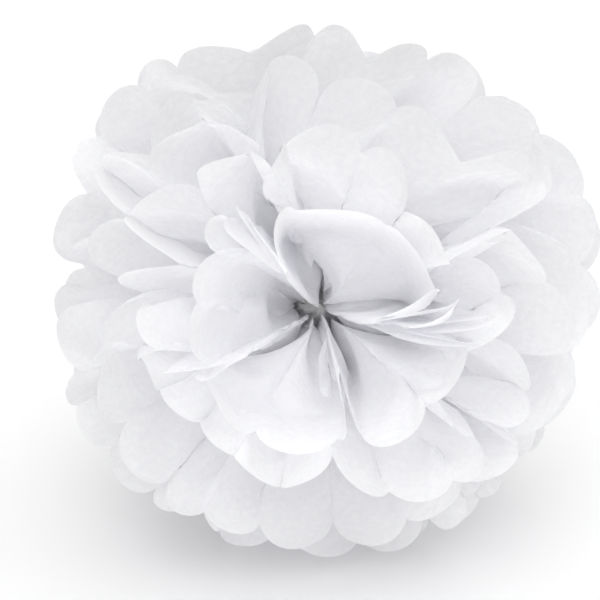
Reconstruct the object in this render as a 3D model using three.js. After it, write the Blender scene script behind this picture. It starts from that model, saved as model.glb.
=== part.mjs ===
// Tissue paper pom pom, 300 mm class: a ball of twelve pleated tissue sheets, gathered at the middle by a wire tie.
//
// Each sheet starts as a flat rectangle. It is folded like an accordion into a strip one pleat wide, so the strip's
// rounded ends give every pleat panel a scalloped tip. The stack is tied round its middle, both ends are fanned out
// to half a turn each, and the sheets are drawn apart, half of them to the front pole and half to the back pole.
// The ball lies on a table: petals that would reach below it bend where they meet it and lie flat on it.
//
// Units are millimetres, +Z is up, and the front pole looks towards -Y and a little up. The origin is on the table,
// under the middle of the ball.
import * as THREE from "three";

const { degToRad, smoothstep, clamp, lerp } = THREE.MathUtils;

// The cut sheet and its folds
const CUT_WIDTH = 500;
const UPPER_REACH = 167; // from the tie to the upper tips, along the sheet
const LOWER_REACH = 146; // from the tie to the lower tips
const SIDE_REACH = 150; // from the tie to the tips at the sides of both fans
const PANELS = 13;
const PLEAT = CUT_WIDTH / PANELS;
const TIP_DEPTH = 13; // how far the folds' ends are cut back from the rounded tips
const TIP_PLACES = [0.15, 0.5, 0.85]; // corners of a rounded tip between its two folds, as shares of the panel
const WALL = 0.4; // thickness of a sheet, measured across its pleats

// The tied waist
const WAIST_WIDTH = 13;
const WAIST_ROUND = 8; // half the depth at which the waist's rounded section would close
const SHEET_PITCH = 1; // between neighbouring sheets inside the tie
const FANNED_AT = 17; // distance from the tie where the folds point their own way
const OPEN_FROM = 6;
const OPEN_AT = 46; // distance from the tie where the pleats have opened and the sheet has its full lean

// The fans: how far each sheet leans from the disc plane to the front pole, in degrees, back sheet first
const UPPER_LEAN = [-66, -54, -42, -31, -20, -9, 4, 17, 30, 43, 57, 70];
const LOWER_LEAN = [-66, -54, -43, -32, -21, -10, 3, 15, 28, 41, 55, 70];
const SHEETS = UPPER_LEAN.length;
const FULL_LEAN = degToRad(88); // no petal leans further, which keeps the two fans apart at the poles
const FAN_SPREAD = degToRad(176);
const BASE_LEAN = 1.12; // petals lean more at their base than at their tip
const MOST_RISE = 0.5; // of a fold above or below its sheet, where the pleats crowd near the tie

// How the ball lies
const POLE_TILT = degToRad(14); // front pole above the horizon
const SEAM_ROLL = degToRad(7); // seam between the two fans, right end down
const CENTRE_HEIGHT = 128;

// The wire tie
const WIRE = 1;
const WIRE_GAP = 0.35;
const LOOP_SQUARENESS = 0.5;
const TWIST_LENGTH = 11;
const TWIST_TURNS = 2.5;

// Distances from the tie of the rows of corners between it and the rounded tips
const ROW_STOPS = [4, 9, 16, 27, 46, 116];
const EDGE_STRIP = 3; // between the tips and the row inside them

const tissue = new THREE.MeshStandardMaterial({ color: 0xf6f6f8, roughness: 0.9, metalness: 0 });
const coatedWire = new THREE.MeshStandardMaterial({ color: 0xd9d6d2, roughness: 0.55, metalness: 0 });

const ballFrame = new THREE.Matrix4()
  .makeRotationX(-POLE_TILT)
  .multiply(new THREE.Matrix4().makeRotationY(SEAM_ROLL))
  .setPosition(0, 0, CENTRE_HEIGHT);

const SEAM = new THREE.Vector3(1, 0, 0); // along the seam between the fans
const POLE = new THREE.Vector3(0, -1, 0); // to the front pole
const STRIP = new THREE.Vector3(0, 0, 1); // along the folded strip, into the upper fan

// Lean of a sheet's surface at a radius, on a fold (side +1 mountain, -1 valley) or between two folds.
// The panels keep their width: where the folds are close together, the pleats are deep.
function leanAt(radius, lean, side) {
  const opened = smoothstep(radius, OPEN_FROM, OPEN_AT);
  const share = lean / FULL_LEAN;
  const foldSpacing = (FAN_SPREAD * radius * Math.cos(lean) + WAIST_WIDTH) / PANELS;
  const depth = Math.sqrt(Math.max(PLEAT ** 2 - foldSpacing ** 2, 0));
  const rise = Math.min(depth / (2 * radius * FULL_LEAN * (1 - share ** 2)), MOST_RISE);
  const curve = BASE_LEAN + (1 - BASE_LEAN) * (radius / UPPER_REACH);
  return FULL_LEAN * Math.tanh(opened * (Math.atanh(share) * curve + rise * side));
}

// Walks out from the tie along the sheet until the distance is used up.
function walkOut(distance, lean, side) {
  const step = 0.5;
  let walked = 0;
  let radius = 0;
  let angle = 0;
  while (walked < distance) {
    const next = leanAt(radius + step, lean, side);
    walked += Math.hypot(step, radius * (next - angle));
    radius += step;
    angle = next;
  }
  return { radius, angle };
}

// A point of a sheet's mid surface and the way its thickness is laid, from a place on the flat cut.
function unbent(sheet, across, along, upper) {
  const lean = degToRad((upper ? UPPER_LEAN : LOWER_LEAN)[sheet]);
  const { radius, angle } = walkOut(along, lean, zigzag(across));
  const stack = (sheet - (SHEETS - 1) / 2) * SHEET_PITCH;
  const gathered = WAIST_WIDTH * Math.sqrt(1 - (stack / WAIST_ROUND) ** 2);
  const share = across / PANELS - 0.5;
  const fanAngle = share * FAN_SPREAD * smoothstep(radius, 0, FANNED_AT);
  const outward = STRIP.clone()
    .multiplyScalar(upper ? Math.cos(fanAngle) : -Math.cos(fanAngle))
    .addScaledVector(SEAM, Math.sin(fanAngle));
  const point = SEAM.clone()
    .multiplyScalar(share * gathered)
    .addScaledVector(POLE, stack + radius * Math.sin(angle))
    .addScaledVector(outward, radius * Math.cos(angle));
  const normal = POLE.clone().multiplyScalar(Math.cos(angle)).addScaledVector(outward, -Math.sin(angle));
  return { point: point.applyMatrix4(ballFrame), normal: normal.transformDirection(ballFrame) };
}

// +1 on a mountain fold, -1 on a valley fold, and straight across each panel. Places across are in panels.
function zigzag(across) {
  const panel = clamp(Math.floor(across), 0, PANELS - 1);
  const rise = 2 * (across - panel) - 1;
  return panel % 2 ? -rise : rise;
}

// The same, bent where it meets the table: the rest of the petal lies flat, away from the middle of the ball.
function folded(sheet, across, along, upper) {
  const placed = unbent(sheet, across, along, upper);
  const below = WALL / 2 - placed.point.z;
  if (below < -1e-4) return placed;
  const forward = sheet >= SHEETS / 2 ? 1 : -1;
  placed.point.y -= forward * below;
  placed.point.z = WALL / 2;
  placed.normal.set(0, 0, forward);
  return placed;
}

// Where a lower petal meets the table, or a little before its edge if it doesn't.
function bendPlace(sheet, across) {
  const clearOfTable = (along) => unbent(sheet, across, along, false).point.z > WALL / 2;
  let near = 0;
  let far = tipReach(across, false) - EDGE_STRIP;
  if (clearOfTable(far)) return far;
  for (let halving = 0; halving < 24; halving++) {
    const middle = (near + far) / 2;
    if (clearOfTable(middle)) near = middle;
    else far = middle;
  }
  return far;
}

// How far a panel's rounded tip reaches: half an ellipse between its two folds.
function tipReach(across, upper) {
  const fromMiddle = 2 * (across - clamp(Math.floor(across), 0, PANELS - 1)) - 1;
  const reach = lerp(upper ? UPPER_REACH : LOWER_REACH, SIDE_REACH, (2 * across / PANELS - 1) ** 2);
  return reach - TIP_DEPTH * (1 - Math.sqrt(Math.max(1 - fromMiddle ** 2, 0)));
}

// One sheet as a closed thin shell: rows of corners on the folds, then the rounded tips at both ends.
// A lower fan has one more row, where its petals meet the table.
function tissueSheet(sheet) {
  const corners = [];
  const addRow = (places, along, upper) =>
    places.map((across) => {
      const { point, normal } = folded(sheet, across, along(across), upper);
      corners.push(point.clone().addScaledVector(normal, WALL / 2), point.addScaledVector(normal, -WALL / 2));
      return { across, corner: corners.length / 2 - 1 };
    });
  const folds = Array.from({ length: PANELS + 1 }, (_, fold) => fold);
  const tipPlaces = folds.slice(0, PANELS).flatMap((fold) => [fold, ...TIP_PLACES.map((share) => fold + share)]);
  tipPlaces.push(PANELS);
  const waist = addRow(folds, () => 0, true);

  const faces = [];
  for (const upper of [true, false]) {
    const rows = [waist, ...ROW_STOPS.map((stop) => addRow(folds, () => stop, upper))];
    if (!upper) rows.push(addRow(tipPlaces, (across) => bendPlace(sheet, across), upper));
    rows.push(addRow(tipPlaces, (across) => tipReach(across, upper), upper));
    for (let row = 0; row + 1 < rows.length; row++) {
      for (const [a, b, c] of stitch(rows[row], rows[row + 1])) faces.push(upper ? [a, b, c] : [a, c, b]);
    }
  }
  return closedShell(corners, faces);
}

// Triangles between two rows of corners that may differ in number, each row in order across the sheet.
function stitch(inner, outer) {
  const faces = [];
  const middle = (row, i) => (i + 1 < row.length ? (row[i].across + row[i + 1].across) / 2 : Infinity);
  let i = 0;
  let j = 0;
  while (i + 1 < inner.length || j + 1 < outer.length) {
    if (middle(outer, j) <= middle(inner, i)) {
      faces.push([inner[i].corner, outer[j + 1].corner, outer[j].corner]);
      j++;
    } else {
      faces.push([inner[i].corner, inner[i + 1].corner, outer[j].corner]);
      i++;
    }
  }
  return faces;
}

// Front and back of the mid surface, joined by a wall along its free edge.
function closedShell(corners, faces) {
  const index = [];
  const edges = new Map();
  for (const face of faces) {
    const [a, b, c] = face.map((corner) => 2 * corner);
    index.push(a, b, c, a + 1, c + 1, b + 1);
    face.forEach((from, i) => edges.set(`${from},${face[(i + 1) % 3]}`, [from, face[(i + 1) % 3]]));
  }
  for (const [from, to] of edges.values()) {
    if (edges.has(`${to},${from}`)) continue;
    index.push(2 * from, 2 * from + 1, 2 * to + 1, 2 * from, 2 * to + 1, 2 * to);
  }
  const geometry = new THREE.BufferGeometry().setFromPoints(corners).setIndex(index);
  geometry.computeVertexNormals();
  return geometry;
}

// One wire: down one strand of the twist, once round the waist, and back up the other strand.
function wireTie() {
  const halfWidth = WAIST_WIDTH / 2 + WIRE_GAP + WIRE / 2;
  const halfDepth = ((SHEETS - 1) * SHEET_PITCH + WALL) / 2 + WIRE_GAP + WIRE / 2;
  const strandRadius = (WIRE + WIRE_GAP) / 2;
  const squared = (value) => Math.sign(value) * Math.abs(value) ** LOOP_SQUARENESS;
  const twistPoint = (height, strand) => {
    const turn = (height / TWIST_LENGTH) * TWIST_TURNS * 2 * Math.PI + (strand < 0 ? Math.PI : 0);
    return new THREE.Vector3(
      strandRadius * Math.cos(turn),
      -(halfDepth + strandRadius + height),
      strandRadius * Math.sin(turn),
    );
  };
  const twistSteps = 20;
  const loopSteps = 24;
  const points = [];
  for (let i = twistSteps; i >= 0; i--) points.push(twistPoint((i / twistSteps) * TWIST_LENGTH, 1));
  for (let i = 2; i < loopSteps - 1; i++) {
    const turn = -Math.PI / 2 + (i / loopSteps) * 2 * Math.PI;
    points.push(new THREE.Vector3(halfWidth * squared(Math.cos(turn)), halfDepth * squared(Math.sin(turn)), 0));
  }
  for (let i = 0; i <= twistSteps; i++) points.push(twistPoint((i / twistSteps) * TWIST_LENGTH, -1));
  const section = new THREE.Shape().absarc(0, 0, WIRE / 2, 0, 2 * Math.PI);
  const geometry = new THREE.ExtrudeGeometry(section, {
    extrudePath: new THREE.CatmullRomCurve3(points),
    steps: 80,
    curveSegments: 4,
  });
  return geometry.applyMatrix4(ballFrame);
}

const pomPom = new THREE.Group();
for (let sheet = 0; sheet < SHEETS; sheet++) {
  const mesh = new THREE.Mesh(tissueSheet(sheet), tissue);
  mesh.name = `tissue_sheet_${String(sheet + 1).padStart(2, "0")}`;
  pomPom.add(mesh);
}
const tie = new THREE.Mesh(wireTie(), coatedWire);
tie.name = "wire_tie";
pomPom.add(tie);

// The origin goes under the middle of the ball.
const box = new THREE.Box3().setFromObject(pomPom);
const middle = box.getCenter(new THREE.Vector3());
pomPom.position.set(-middle.x, -middle.y, -box.min.z);

export default pomPom;
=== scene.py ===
# White tissue paper pom pom, 300 mm class, resting on a pale floor.
#
# The twelve sheets are made the way the real ones are: cut flat, pleated, tied, fanned out and
# drawn apart, then left to settle as soft paper that keeps its length and its creases and is
# pushed off its neighbours. Some petals still cross the sheet next to them. The wire tie is the
# frame's own piece with a new finish.
# Metres, +Z up; the front pole of the ball looks towards -Y and a little up.
import math

import bmesh
import bpy
import numpy as np
from mathutils import Euler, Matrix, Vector


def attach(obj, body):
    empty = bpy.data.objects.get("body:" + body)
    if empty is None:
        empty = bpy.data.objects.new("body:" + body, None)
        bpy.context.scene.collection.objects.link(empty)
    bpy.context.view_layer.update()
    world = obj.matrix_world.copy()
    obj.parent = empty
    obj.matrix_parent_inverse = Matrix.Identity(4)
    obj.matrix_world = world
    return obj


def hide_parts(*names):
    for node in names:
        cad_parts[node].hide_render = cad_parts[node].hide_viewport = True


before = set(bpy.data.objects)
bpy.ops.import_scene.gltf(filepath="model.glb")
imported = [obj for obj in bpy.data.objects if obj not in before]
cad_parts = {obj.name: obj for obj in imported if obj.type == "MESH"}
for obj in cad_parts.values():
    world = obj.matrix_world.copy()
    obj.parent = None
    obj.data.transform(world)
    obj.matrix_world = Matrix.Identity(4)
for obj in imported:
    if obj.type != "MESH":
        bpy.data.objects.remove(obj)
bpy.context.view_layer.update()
MM = 0.001

# The cut sheet and its folds. A reach is the length of the cut from the tie to the tips.
SHEETS = 12
HALF = SHEETS // 2
CUT_WIDTH = 500 * MM
UPPER_REACH = 167 * MM
LOWER_REACH = 146 * MM
SIDE_REACH = 150 * MM
PANELS = 13
PLEAT = CUT_WIDTH / PANELS
TIP_DEPTH = 13 * MM
FOLD_SHARPNESS = 1.0

# The tied waist, and how far from it the paper can't move
WAIST_WIDTH = 13 * MM
WAIST_ROUND = 8 * MM
SHEET_PITCH = 1 * MM
HELD_TO = 9 * MM

# How far each sheet leans from the disc plane to the front pole, back sheet first
UPPER_LEAN = np.radians([-66, -54, -42, -31, -20, -9, 5, 19, 33, 47, 63, 77])
LOWER_LEAN = np.radians([-66, -54, -43, -32, -21, -10, 3, 15, 29, 44, 60, 75])
FULL_LEAN = math.radians(88)
FAN_SPREAD = math.radians(178)
# A sheet leans more at the tie than at its tips, by this share
BASE_LEAN = 1.12
# Most that a fold stands out of its sheet, as a share of the full lean
MOST_RISE = 0.66
# Petals at the sides of a fan lean less than those in its middle, by this share
UPPER_SIDE_DROP = 0.34
LOWER_SIDE_DROP = 0.32

# A sheet starts to lean at OPEN_FROM out from the tie, and is open at OPEN_AT, or sooner at the poles
OPEN_FROM = 4 * MM
OPEN_AT = 46 * MM
CUP_OPEN_AT = 28 * MM

# Where other things come about, from nothing to all, by distance out from the tie
FANNED = (0, 6 * MM)
SEAM_PARTED = (6 * MM, 35 * MM)
PLEATS_DEEPEN = (15 * MM, 55 * MM)
TURNS_SETTLE = (25 * MM, 70 * MM)
FOLDS_FLATTEN = (35 * MM, 95 * MM)
TIPS_CURL = (105 * MM, UPPER_REACH)
CRUMPLED = (30 * MM, 110 * MM)
CUT_LENGTH_COUNTS = (25 * MM, 75 * MM)
SHEETS_PART = (30 * MM, 120 * MM)

# Where the seam's shift comes about, by angle from the middle of a fan
NEAR_SEAM = (math.radians(25), math.radians(88))

# How unlike the pleats are: turns and seam shifts in degrees, leans and curls as shares of the
# full lean. TIP_CURL is a mean and a spread, the others are spreads but for the even stagger.
OWN_TURN = 2.2
SEAM_SHIFT = 3
SEAM_STAGGER = 4
SHARED_LEAN = 0.05
OWN_LEAN = 0.07
TIP_CURL = (0.04, 0.16)

# Folds that handling has opened: how many, how flat they are, and how much less flat the next
# sheet in is
LOOSE_CHANCE = 0.3
LOOSE_FLAT = (0.15, 0.7)
SEAM_FOLD_FLAT = 0.6
GIVES_WAY_LESS = 0.4

# Soft creases on each sheet: widths and lengths in millimetres, lie in radians, depth as a share
# of width
CREASES = 26
CREASE_WIDTH = (11, 34)
CREASE_LENGTH = (30, 120)
CREASE_LIE = 0.35
CREASE_DEPTH = 0.012

# Settling
ROUNDS = 120
PULL_HOME = 0.02
EDGE_STIFF = 1.0
SHEAR_STIFF = 0.6
PANEL_STIFF = 0.35
LENGTHWISE_STIFF = 0.25
GAP_AT_TIE = 0.7 * MM
GAP_GAINED = 3.5 * MM
LIFT = 0.2 * MM

# How the ball lies
POLE_TILT = math.radians(14)
SEAM_ROLL = math.radians(7)
CENTRE = Vector((-1.42 * MM, -9.88 * MM, 128 * MM))

# Grid of points on a sheet: across each panel, and out from the tie
PANEL_POINTS = 6
ROWS_OUT = 26
COLUMNS = PANELS * PANEL_POINTS + 1
ROWS = 2 * ROWS_OUT + 1
ROW_SPREAD = 1.15

# Distances out from the tie at which a fan's shape is worked out, past the longest reach
STEP = 1 * MM
STEPS_OUT = np.arange(1, 190) * STEP

# How finely a fan's arc is measured, how often its pleats' height is halved in on, and the square
# of the least share of its panel's width that a pleat keeps
ARC_SAMPLES = 41
HALVINGS = 22
LEAST_SPACING_SQUARED = 0.0025

# Angles about the pole at which neighbouring sheets are compared, and the room between them
FAN_GRID = np.radians(np.arange(-100, 101, 2))
SHEET_GAP = math.radians(1.3)

rng = np.random.default_rng(12)


def smoothstep(value, low, high):
    share = np.clip((value - low) / (high - low), 0, 1)
    return share * share * (3 - 2 * share)


# --- The flat cut ---------------------------------------------------------------------------

def column_places():
    """Place of each column across the sheet, in panels: closer together beside the folds."""
    inside = (1 - np.cos(np.pi * np.arange(PANEL_POINTS) / PANEL_POINTS)) / 2
    places = (np.arange(PANELS)[:, None] + inside[None, :]).ravel()
    return np.append(places, PANELS)


def tip_reach(places, upper):
    """Length of the cut from the tie to the rounded end of each panel."""
    panel = np.minimum(np.floor(places), PANELS - 1)
    from_middle = 2 * (places - panel) - 1
    side = (2 * places / PANELS - 1) ** 2
    middle_reach = UPPER_REACH if upper else LOWER_REACH
    reach = middle_reach + (SIDE_REACH - middle_reach) * side
    return reach - TIP_DEPTH * (1 - np.sqrt(np.maximum(1 - from_middle ** 2, 0)))


def flat_cut():
    """Place of each grid point on the flat cut, across and along. Along is negative in the lower fan."""
    places = column_places()
    out = (np.arange(1, ROWS_OUT + 1) / ROWS_OUT) ** ROW_SPREAD
    lower = -out[::-1][None, :] * tip_reach(places, False)[:, None]
    upper = out[None, :] * tip_reach(places, True)[:, None]
    along = np.concatenate([lower, np.zeros((COLUMNS, 1)), upper], axis=1)
    across = np.repeat(places[:, None] * PLEAT, ROWS, axis=1)
    return across, along


# --- Pleats and pressed folds ---------------------------------------------------------------

# Folds that the fingers pressed flat while fluffing, so the two panels beside them open into one
# broad petal. Sheet and fan: fold number, counted from the left, and how flat it is.
PRESSED = {
    (11, True): {7: 1.0},
    (11, False): {5: 0.95, 9: 0.85},
    (10, True): {3: 0.7, 8: 0.6, 12: 0.5},
    (10, False): {3: 0.6, 7: 0.8, 12: 0.6},
    (9, True): {9: 0.6, 12: 0.5},
    (9, False): {7: 0.8, 9: 0.8, 3: 0.8},
    (0, True): {6: 1.0},
    (0, False): {8: 0.9},
    (1, True): {4: 0.8, 10: 0.8},
    (1, False): {2: 0.7, 6: 0.8},
}


def pressed_folds():
    """How flat each fold of each sheet and fan is, 0 to 1. A sheet behind a pressed fold follows it."""
    folds = np.arange(PANELS + 1)
    flat = np.zeros((SHEETS, 2, PANELS + 1))
    for sheet in range(SHEETS):
        outward = folds % 2 == 1 if sheet >= HALF else folds % 2 == 0
        seam_fold = PANELS - 1 if sheet >= HALF else 1
        for upper in (0, 1):
            chance = rng.random(PANELS + 1)
            loosened = rng.uniform(*LOOSE_FLAT, PANELS + 1)
            pressed = PRESSED.get((sheet, bool(upper)))
            if pressed is None:
                flat[sheet, upper] = np.where(outward & (chance < LOOSE_CHANCE), loosened, 0)
                flat[sheet, upper, seam_fold] = SEAM_FOLD_FLAT
                continue
            for fold, share in pressed.items():
                flat[sheet, upper, fold] = share
    for sheet in range(SHEETS - 2, HALF - 1, -1):
        flat[sheet] = np.maximum(flat[sheet], flat[sheet + 1] - GIVES_WAY_LESS)
    for sheet in range(1, HALF):
        flat[sheet] = np.maximum(flat[sheet], flat[sheet - 1] - GIVES_WAY_LESS)
    return flat


def fold_sides(sheet):
    """+1 on mountain folds, -1 on valley folds. The free end that would turn in at the seam turns out."""
    sides = np.where(np.arange(PANELS + 1) % 2 == 1, 1.0, -1.0)
    if sheet >= HALF:
        sides[0] = 0.5
    else:
        sides[-1] = -0.5
    return sides


def side_share(fan_angle, upper):
    """Share of its lean that a petal keeps at an angle from the middle of its fan."""
    side = np.abs(np.sin(fan_angle)) ** 1.5
    return 1 - (UPPER_SIDE_DROP if upper else LOWER_SIDE_DROP) * side


def open_pleats(lean, side, flat, gathered, upper):
    """Turn of each fold about the pole and its height over the sheet at each step out.

    A sheet keeps its width, so where the fan gives it less room than that its folds stand higher.
    The height that fits is found by halving.
    """
    turns = np.linspace(-0.5, 0.5, ARC_SAMPLES) * FAN_SPREAD
    leaned = FULL_LEAN * np.tanh(np.arctanh(lean / FULL_LEAN) * side_share(turns, upper))
    out = np.cos(leaned)
    run = np.concatenate([[0], np.cumsum((out[1:] + out[:-1]) / 2 * np.diff(turns))])
    arc = STEPS_OUT * run[-1] + gathered
    give = flat[:, None] * smoothstep(STEPS_OUT, *FOLDS_FLATTEN)[None, :]
    height = side[:, None] * (1 - 2 * give)
    change = np.abs(np.diff(height, axis=0)) / 2
    low = np.zeros_like(STEPS_OUT)
    high = np.ones_like(STEPS_OUT)
    for _ in range(HALVINGS):
        middle = (low + high) / 2
        too_wide = (PLEAT * np.sqrt(1 - (middle * change) ** 2)).sum(axis=0) > arc
        low = np.where(too_wide, middle, low)
        high = np.where(too_wide, high, middle)
    spacing = PLEAT * np.sqrt(np.maximum(1 - (high * change) ** 2, LEAST_SPACING_SQUARED))
    reached = np.concatenate([np.zeros((1, len(STEPS_OUT))), np.cumsum(spacing, axis=0)], axis=0)
    turn = np.interp(reached / reached[-1] * run[-1], run, turns)
    even = (np.arange(PANELS + 1) / PANELS - 0.5)[:, None] * FAN_SPREAD
    settled = smoothstep(STEPS_OUT, *TURNS_SETTLE)[None, :]
    return even + (turn - even) * settled, height * high * PLEAT / 2


# --- Tying, fanning and drawing apart -------------------------------------------------------

def ball_axes():
    """Directions of the seam between the fans, of the front pole, and of the sheets' length."""
    turn = Euler((-POLE_TILT, 0, 0)).to_matrix() @ Euler((0, SEAM_ROLL, 0)).to_matrix()
    seam = np.array(turn @ Vector((1, 0, 0)))
    pole = np.array(turn @ Vector((0, -1, 0)))
    strip = np.array(turn @ Vector((0, 0, 1)))
    return seam, pole, strip


SEAM, POLE, STRIP = ball_axes()


def loose_pleats():
    """What the fingers left uneven: turn, lean and tip curl of each fold, and the shift at each seam."""
    shared_lean = rng.normal(0, SHARED_LEAN, (2, PANELS + 1))
    stagger = SEAM_STAGGER * (-1.0) ** np.arange(SHEETS)[:, None]
    seam_shift = np.radians(rng.normal(0, SEAM_SHIFT, (SHEETS, 2)) + stagger)
    loose = {}
    for sheet in range(SHEETS):
        for upper in (True, False):
            own_turn = np.radians(rng.normal(0, OWN_TURN, PANELS + 1))
            own_lean = shared_lean[int(upper)] + rng.normal(0, OWN_LEAN, PANELS + 1)
            loose[sheet, upper] = own_turn, own_lean, rng.normal(*TIP_CURL, PANELS + 1)
    return loose, seam_shift


def between_folds(values, places):
    """Values given on the folds, straight across each panel, at the places of the columns."""
    panel = np.minimum(places.astype(int), PANELS - 1)
    share = (places - panel)[:, None]
    return values[panel] * (1 - share) + values[panel + 1] * share


def lean_and_turn(sheet, upper, flat, own_lean, curl, gathered):
    """Lean of each fold from the disc plane, and its turn about the pole, at each step out."""
    lean = (UPPER_LEAN if upper else LOWER_LEAN)[sheet]
    even_turn = (np.arange(PANELS + 1) / PANELS - 0.5) * FAN_SPREAD
    leaned = np.arctanh(lean / FULL_LEAN) * side_share(even_turn, upper) + own_lean
    turn, height = open_pleats(lean, fold_sides(sheet), flat, gathered, upper)
    room = 1 - np.tanh(leaned)[:, None] ** 2
    most = MOST_RISE * (0.5 + 0.5 * smoothstep(STEPS_OUT, *PLEATS_DEEPEN))
    rise = np.clip(height / (STEPS_OUT * FULL_LEAN * room), -most, most)
    curve = BASE_LEAN + (1 - BASE_LEAN) * STEPS_OUT / UPPER_REACH
    open_at = OPEN_AT + (CUP_OPEN_AT - OPEN_AT) * (abs(lean) / FULL_LEAN) ** 3
    opened = smoothstep(STEPS_OUT, OPEN_FROM, open_at)
    at_tip = smoothstep(STEPS_OUT, *TIPS_CURL) ** 1.5
    bent = leaned[:, None] * curve + rise + curl[:, None] * at_tip
    return FULL_LEAN * np.tanh(opened * bent), turn


def fan_shape(sheet, upper, flat, loose, seam_shift, gathered, places):
    """Lean and turn of each column of a fan at each step out."""
    own_turn, own_lean, curl = loose
    angle, turn = lean_and_turn(sheet, upper, flat, own_lean, curl, gathered)
    angle = between_folds(angle, places)
    turn = between_folds(turn + own_turn[:, None] * STEPS_OUT / UPPER_REACH, places)
    shift = np.where(turn < 0, -seam_shift[0], seam_shift[1])
    near_seam = smoothstep(np.abs(turn), *NEAR_SEAM)
    up = 1 if upper else -1
    turn += up * shift * near_seam * smoothstep(STEPS_OUT, *SEAM_PARTED)
    return angle, turn


def give_way(angle, turn, limit, front):
    """Keeps a sheet behind the sheets outside it, and returns where the next one inside has to stay."""
    gap = SHEET_GAP if front else -SHEET_GAP
    nearer = np.minimum if front else np.maximum
    here = np.zeros((len(FAN_GRID), angle.shape[1]))
    for step in range(angle.shape[1]):
        if limit is not None:
            stay = np.interp(turn[:, step], FAN_GRID, limit[:, step])
            angle[:, step] = nearer(angle[:, step], stay)
        here[:, step] = np.interp(FAN_GRID, turn[:, step], angle[:, step])
    return here - gap if limit is None else nearer(here, limit) - gap


def walk_out(angle, turn, distance):
    """Radius, lean and turn of each point, at its own distance along its column's bent line."""
    stepped = np.hypot(STEP, STEPS_OUT[1:] * np.diff(angle, axis=1))
    first = np.full((COLUMNS, 1), STEP)
    walked = np.concatenate([first, STEP + np.cumsum(stepped, axis=1)], axis=1)
    at_radius = np.stack([np.interp(distance[c], walked[c], STEPS_OUT) for c in range(COLUMNS)])
    at_radius = np.minimum(at_radius, distance)
    at_angle = np.stack([np.interp(at_radius[c], STEPS_OUT, angle[c]) for c in range(COLUMNS)])
    at_turn = np.stack([np.interp(at_radius[c], STEPS_OUT, turn[c]) for c in range(COLUMNS)])
    return at_radius, at_angle, at_turn * smoothstep(at_radius, *FANNED)


def folded_sheets(across, along):
    """Points of all sheets, folded, tied, fanned out and drawn apart, and the way each one faces there."""
    places = across[:, 0] / PLEAT
    points = np.zeros((SHEETS, COLUMNS, ROWS, 3))
    facing = np.zeros_like(points)
    flat = pressed_folds()
    loose, seam_shift = loose_pleats()
    outside_first = list(range(SHEETS - 1, HALF - 1, -1)) + list(range(HALF))
    for upper in (True, False):
        up = 1 if upper else -1
        rows = slice(ROWS_OUT, ROWS) if upper else slice(ROWS_OUT, None, -1)
        distance = np.abs(along[:, rows])
        limit = None
        for sheet in outside_first:
            stack = (sheet - (SHEETS - 1) / 2) * SHEET_PITCH
            gathered = WAIST_WIDTH * math.sqrt(1 - (stack / WAIST_ROUND) ** 2)
            angle, turn = fan_shape(sheet, upper, flat[sheet, int(upper)], loose[sheet, upper],
                                    seam_shift[sheet], gathered, places)
            outermost = sheet in (0, SHEETS - 1)
            limit = give_way(angle, turn, None if outermost else limit, sheet >= HALF)
            at_radius, at_angle, at_turn = walk_out(angle, turn, distance)
            outward = up * np.cos(at_turn)[..., None] * STRIP + np.sin(at_turn)[..., None] * SEAM
            point = ((places / PANELS - 0.5) * gathered)[:, None, None] * SEAM + stack * POLE
            point = point + (at_radius * np.sin(at_angle))[..., None] * POLE
            point = point + (at_radius * np.cos(at_angle))[..., None] * outward
            points[sheet, :, rows] = point
            faces = np.cos(at_angle)[..., None] * POLE - np.sin(at_angle)[..., None] * outward
            facing[sheet, :, rows] = faces
    points += np.array(CENTRE)
    points += facing * crumple(across, along)[..., None]
    lay_on_floor(points)
    return points, facing


def lay_on_floor(points):
    """Petals that would pass through the floor bend out along it instead."""
    below = LIFT - points[..., 2]
    forward = np.where(np.arange(SHEETS) >= HALF, -1.0, 1.0)[:, None, None]
    points[..., 1] += np.where(below > 0, forward * below, 0)
    points[..., 2] = np.maximum(points[..., 2], LIFT)


def crumple(across, along):
    """Soft creases that run out from the tie, deeper towards the tips, different on each sheet."""
    depth = np.zeros((SHEETS, COLUMNS, ROWS))
    for sheet in range(SHEETS):
        for _ in range(CREASES):
            width = rng.uniform(*CREASE_WIDTH) * MM
            length = rng.uniform(*CREASE_LENGTH) * MM
            lie = rng.normal(0, CREASE_LIE)
            wave = (across * math.cos(lie) + along * math.sin(lie)) / width
            run = (along * math.cos(lie) - across * math.sin(lie)) / length
            phase = rng.uniform(0, 2 * math.pi, 2)
            swell = 0.5 + 0.5 * np.sin(2 * math.pi * run + phase[0])
            depth[sheet] += width * CREASE_DEPTH * swell * np.sin(2 * math.pi * wave + phase[1])
    return depth * smoothstep(np.abs(along), *CRUMPLED)


# --- Settling as soft paper -----------------------------------------------------------------

def hold_length(points, first, second, rest, stiffness, only_apart):
    """Moves the points of each pair along the line between them, towards their rest length."""
    a = points[first]
    b = points[second]
    gap = b - a
    length = np.sqrt(np.einsum("...i,...i->...", gap, gap)) + 1e-9
    over = (length - rest) / length
    if only_apart:
        over = np.minimum(over, 0)
    move = (0.5 * stiffness) * over[..., None] * gap
    points[first] += move
    points[second] -= move


def pairs(count, step):
    """Numbers that pair each point with the one a step on, in sets that share no point."""
    sets = []
    for start in range(step):
        for phase in (0, step):
            first = np.arange(start + phase, count - step, 2 * step)
            sets.append((first, first + step))
    return sets


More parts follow.
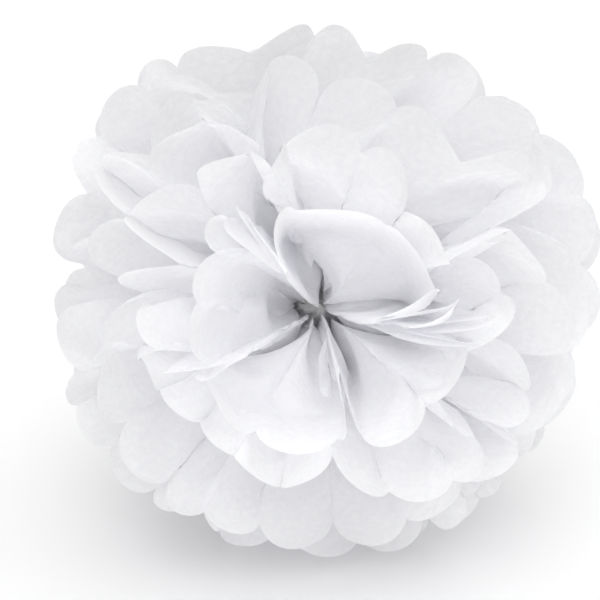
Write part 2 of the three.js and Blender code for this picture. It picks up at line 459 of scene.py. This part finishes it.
def paper_links():
    """Columns and rows of the points that hold one another, how stiffly, and if only apart.

    Neighbours hold their distance, diagonals keep the paper square, and the pairs two apart keep
    it from bending sharply anywhere but on a fold.
    """
    columns = np.arange(COLUMNS)
    rows = np.arange(ROWS)
    links = []
    for first, second in pairs(COLUMNS, 1):
        links.append((first, rows, second, rows, EDGE_STIFF, False))
    for first, second in pairs(ROWS, 1):
        links.append((columns, first, columns, second, EDGE_STIFF, False))
    for first, second in pairs(COLUMNS, 1):
        links.append((first, rows[:-1], second, rows[1:], SHEAR_STIFF, False))
        links.append((first, rows[1:], second, rows[:-1], SHEAR_STIFF, False))
    for first, second in pairs(COLUMNS, 2):
        on_fold = (first + second) // 2 % PANEL_POINTS == 0
        links.append((first[~on_fold], rows, second[~on_fold], rows, PANEL_STIFF, True))
    for first, second in pairs(ROWS, 2):
        links.append((columns, first, columns, second, LENGTHWISE_STIFF, True))
    return links


def rest_length(home, flat, distance, first, second):
    """Length on the flat cut; near the tie, where pleats lie on one another, the gathered length."""
    cut = np.linalg.norm(flat[second] - flat[first], axis=-1)
    gathered = np.linalg.norm(home[(slice(None), *second)] - home[(slice(None), *first)], axis=-1)
    return gathered + (cut - gathered) * smoothstep(distance[first], *CUT_LENGTH_COUNTS)


def keep_order(points, facing, least_gap):
    """Parts each point from the same point of the next sheet where they are closer than the gap."""
    for start in (0, 1):
        back = points[start:-1:2]
        front = points[start + 1::2]
        normal = facing[start:-1:2]
        apart = np.einsum("...i,...i->...", front - back, normal)
        short = np.maximum(least_gap - apart, 0)[..., None] * normal * 0.5
        back -= short
        front += short


def settle(points, facing, across, along):
    """Lets the folded paper find its shape: it keeps lengths and creases, and is pushed off its
    neighbours and the floor.
    """
    home = points.copy()
    flat = np.stack([across, along], axis=-1)
    distance = np.abs(along)
    held = distance < HELD_TO
    links = []
    for first_columns, first_rows, second_columns, second_rows, stiffness, only_apart in paper_links():
        first = np.ix_(first_columns, first_rows)
        second = np.ix_(second_columns, second_rows)
        rest = rest_length(home, flat, distance, first, second)
        links.append(((slice(None), *first), (slice(None), *second), rest, stiffness, only_apart))
    least_gap = GAP_AT_TIE + GAP_GAINED * smoothstep(distance, *SHEETS_PART)
    for _ in range(ROUNDS):
        points += PULL_HOME * (home - points)
        for link in links:
            hold_length(points, *link)
        keep_order(points, facing, least_gap)
        points[..., 2] = np.maximum(points[..., 2], LIFT)
        points[:, held] = home[:, held]
    return points


# --- Materials ------------------------------------------------------------------------------

def linear(hex_colour):
    """An sRGB hex colour as linear red, green, blue and alpha."""
    channels = [int(hex_colour[i:i + 2], 16) / 255 for i in (1, 3, 5)]
    return tuple(c / 12.92 if c <= 0.04045 else ((c + 0.055) / 1.055) ** 2.4 for c in channels) + (1.0,)


def add_node(material, kind, settings=None, links=None):
    """Adds a node. Settings name attributes or input sockets, links name sockets and what feeds them."""
    node = material.node_tree.nodes.new(kind)
    for name, value in (settings or {}).items():
        if isinstance(name, str) and hasattr(node, name):
            setattr(node, name, value)
        else:
            node.inputs[name].default_value = value
    for name, source in (links or {}).items():
        material.node_tree.links.new(source, node.inputs[name])
    return node


def blank_material(name):
    material = bpy.data.materials.new(name)
    material.use_nodes = True
    material.node_tree.nodes.clear()
    return material


def tissue_paper():
    """Bleached tissue paper, dry creped on a drum.

    It looks matte and half see-through, and faintly clouded where its fibres bunch.
    """
    material = blank_material("bleached_tissue_paper")
    place = add_node(material, "ShaderNodeTexCoord")
    # Fibre clouds about 4 mm across on the flat cut, coarser than real ones so that they show
    fibres = add_node(material, "ShaderNodeTexNoise", {"Scale": 240.0, "Detail": 5.0, "Roughness": 0.7},
                      {"Vector": place.outputs["UV"]})
    # Soft handling creases about 20 mm apart
    creases = add_node(material, "ShaderNodeTexNoise", {"Scale": 50.0, "Detail": 4.0, "Distortion": 1.0},
                       {"Vector": place.outputs["UV"]})
    formation = add_node(material, "ShaderNodeMapRange", {"From Min": 0.35, "From Max": 0.65},
                         {"Value": fibres.outputs["Fac"]})
    white = add_node(material, "ShaderNodeMix",
                     {"data_type": "RGBA", 6: linear("#F7F7F9"), 7: linear("#FFFFFF")},
                     {0: formation.outputs[0]})
    share = add_node(material, "ShaderNodeMapRange", {"To Min": 0.58, "To Max": 0.72},
                     {"Value": formation.outputs[0]})
    soft = add_node(material, "ShaderNodeBump", {"Strength": 0.6, "Distance": 0.0022},
                    {"Height": creases.outputs["Fac"]})
    grain = add_node(material, "ShaderNodeBump", {"Strength": 0.4, "Distance": 0.0006},
                     {"Height": fibres.outputs["Fac"], "Normal": soft.outputs["Normal"]})
    matte = add_node(material, "ShaderNodeBsdfPrincipled",
                     {"Roughness": 0.75, "Specular IOR Level": 0.25},
                     {"Base Color": white.outputs[2], "Normal": grain.outputs["Normal"]})
    through = add_node(material, "ShaderNodeBsdfTranslucent", {},
                       {"Color": white.outputs[2], "Normal": grain.outputs["Normal"]})
    both = add_node(material, "ShaderNodeMixShader", {},
                    {0: share.outputs[0], 1: matte.outputs[0], 2: through.outputs[0]})
    add_node(material, "ShaderNodeOutputMaterial", {}, {"Surface": both.outputs[0]})
    return material


def coated_wire():
    """Steel florist's wire dipped in pale vinyl: satin, a little uneven where the coat ran."""
    material = blank_material("vinyl_dipped_wire")
    place = add_node(material, "ShaderNodeTexCoord")
    # Runs in the coat about 1.5 mm long
    runs = add_node(material, "ShaderNodeTexNoise", {"Scale": 650.0, "Detail": 2.0},
                    {"Vector": place.outputs["Object"]})
    tint = add_node(material, "ShaderNodeMix",
                    {"data_type": "RGBA", 6: linear("#D3D0CB"), 7: linear("#E4E2DE")},
                    {0: runs.outputs["Fac"]})
    bump = add_node(material, "ShaderNodeBump", {"Strength": 0.3, "Distance": 0.0001},
                    {"Height": runs.outputs["Fac"]})
    vinyl = add_node(material, "ShaderNodeBsdfPrincipled", {"Roughness": 0.4},
                     {"Base Color": tint.outputs[2], "Normal": bump.outputs["Normal"]})
    add_node(material, "ShaderNodeOutputMaterial", {}, {"Surface": vinyl.outputs[0]})
    return material


def painted_sweep():
    """White emulsion on a smooth studio sweep: matte, with a trace of roller texture."""
    material = blank_material("emulsion_painted_sweep")
    place = add_node(material, "ShaderNodeTexCoord")
    # Roller marks about 12 mm across
    roller = add_node(material, "ShaderNodeTexNoise", {"Scale": 80.0, "Detail": 2.0},
                      {"Vector": place.outputs["Object"]})
    bump = add_node(material, "ShaderNodeBump", {"Strength": 0.05, "Distance": 0.0003},
                    {"Height": roller.outputs["Fac"]})
    paint = add_node(material, "ShaderNodeBsdfPrincipled",
                     {"Base Color": linear("#FAFAFA"), "Roughness": 0.9},
                     {"Normal": bump.outputs["Normal"]})
    add_node(material, "ShaderNodeOutputMaterial", {}, {"Surface": paint.outputs[0]})
    return material


# --- Making the sheets ----------------------------------------------------------------------

def object_from(shape, name, material):
    """Turns a finished bmesh into an object at the origin, in one material."""
    mesh = bpy.data.meshes.new(name)
    shape.to_mesh(mesh)
    shape.free()
    mesh.materials.append(material)
    piece = bpy.data.objects.new(name, mesh)
    bpy.context.collection.objects.link(piece)
    return piece


def sheet_object(name, points, across, along, material):
    """A flat grid whose points are moved to where cutting, folding and settling took them."""
    shape = bmesh.new()
    uv_layer = shape.loops.layers.uv.new("flat_cut")
    bmesh.ops.create_grid(shape, x_segments=COLUMNS - 1, y_segments=ROWS - 1, size=1)
    for vertex in shape.verts:
        column = round((vertex.co.x + 1) / 2 * (COLUMNS - 1))
        row = round((vertex.co.y + 1) / 2 * (ROWS - 1))
        vertex.index = column * ROWS + row
    for face in shape.faces:
        face.smooth = True
        for loop in face.loops:
            column, row = divmod(loop.vert.index, ROWS)
            loop[uv_layer].uv = (across[column, row], along[column, row])
    sharpness = shape.edges.layers.float.new("crease_edge")
    for edge in shape.edges:
        columns = [vertex.index // ROWS for vertex in edge.verts]
        if columns[0] == columns[1] and columns[0] % PANEL_POINTS == 0:
            edge[sharpness] = FOLD_SHARPNESS
    for vertex in shape.verts:
        column, row = divmod(vertex.index, ROWS)
        vertex.co = points[column, row]
    piece = object_from(shape, name, material)
    smooth = piece.modifiers.new("smooth", "SUBSURF")
    smooth.levels = 1
    smooth.render_levels = 1
    return piece


across, along = flat_cut()
points, facing = folded_sheets(across, along)
points = settle(points, facing, across, along)
tissue = tissue_paper()
for sheet in range(SHEETS):
    node = f"tissue_sheet_{sheet + 1:02d}"
    piece = sheet_object(f"tissue_{sheet + 1:02d}", points[sheet], across, along, tissue)
    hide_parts(node)
    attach(piece, "root")

tie = bpy.data.objects["wire_tie"]
tie.data.materials.clear()
tie.data.materials.append(coated_wire())


# --- Floor ----------------------------------------------------------------------------------

# Half the floor's side, in metres
FLOOR_HALF = 4

floor_shape = bmesh.new()
bmesh.ops.create_grid(floor_shape, x_segments=1, y_segments=1, size=FLOOR_HALF)
floor = object_from(floor_shape, "floor", painted_sweep())


# --- Light ----------------------------------------------------------------------------------

ROOM_LIGHT = 0.56
OVERHEAD_LIGHT = 1.34
OVERHEAD_WIDTH = math.radians(80)
OVERHEAD_SIDE = (0.15, -0.15, 1)
FRONT_LIGHT = 0.75
FRONT_WIDTH = math.radians(60)
FRONT_SIDE = (-0.15, -1, 0.62)
POLE_LIGHT = 52
POLE_LAMP_CONE = math.radians(6.5)
POLE_LAMP_RADIUS = 60 * MM
POLE_LAMP_PLACE = Vector((-120 * MM, -1200 * MM, 460 * MM))
# From the middle of the ball to the hollow at its front pole
TO_HOLLOW = Vector((0, -50 * MM, 0))
# Light crosses many layers of thin white paper before it is lost
LIGHT_BOUNCES = 20


def lamp(name, kind, energy, towards, place=(0, 0, 0)):
    """A lamp that shines from the side that towards points to."""
    light = bpy.data.lights.new(name, kind)
    light.energy = energy
    holder = bpy.data.objects.new(name, light)
    holder.location = place
    holder.rotation_euler = Vector(towards).to_track_quat("Z", "Y").to_euler()
    bpy.context.collection.objects.link(holder)
    return light


world = bpy.data.worlds.new("white_studio")
bpy.context.scene.world = world
world.use_nodes = True
world.node_tree.nodes["Background"].inputs["Color"].default_value = linear("#FFFFFF")
world.node_tree.nodes["Background"].inputs["Strength"].default_value = ROOM_LIGHT

lamp("overhead_silk", "SUN", OVERHEAD_LIGHT, OVERHEAD_SIDE).angle = OVERHEAD_WIDTH
lamp("front_silk", "SUN", FRONT_LIGHT, FRONT_SIDE).angle = FRONT_WIDTH
pole_lamp = lamp("pole_lamp", "SPOT", POLE_LIGHT, POLE_LAMP_PLACE - CENTRE - TO_HOLLOW, POLE_LAMP_PLACE)
pole_lamp.spot_size = POLE_LAMP_CONE
pole_lamp.spot_blend = 1.0
pole_lamp.shadow_soft_size = POLE_LAMP_RADIUS

cycles = bpy.context.scene.cycles
cycles.max_bounces = LIGHT_BOUNCES
cycles.diffuse_bounces = LIGHT_BOUNCES
cycles.transmission_bounces = LIGHT_BOUNCES


# --- Camera ---------------------------------------------------------------------------------

ELEVATION = math.radians(18.5)
VIEW_WIDTH = 324 * MM
# The view's middle from the ball's: to the left, and up in the view
AIM_ASIDE = Vector((-10.6 * MM, 0, 0))
AIM_UP = 1.6 * MM

camera_data = bpy.data.cameras.new("camera")
camera_data.lens = 85
camera_data.sensor_width = 36
camera = bpy.data.objects.new("camera", camera_data)
bpy.context.collection.objects.link(camera)
bpy.context.scene.camera = camera
direction = Vector((0, -math.cos(ELEVATION), math.sin(ELEVATION)))
upwards = Vector((0, math.sin(ELEVATION), math.cos(ELEVATION)))
aim = CENTRE + AIM_ASIDE + upwards * AIM_UP
camera.location = aim + direction * (VIEW_WIDTH * camera_data.lens / camera_data.sensor_width)
camera.rotation_euler = direction.to_track_quat("Z", "Y").to_euler()
bpy.context.scene.view_settings.view_transform = "Standard"
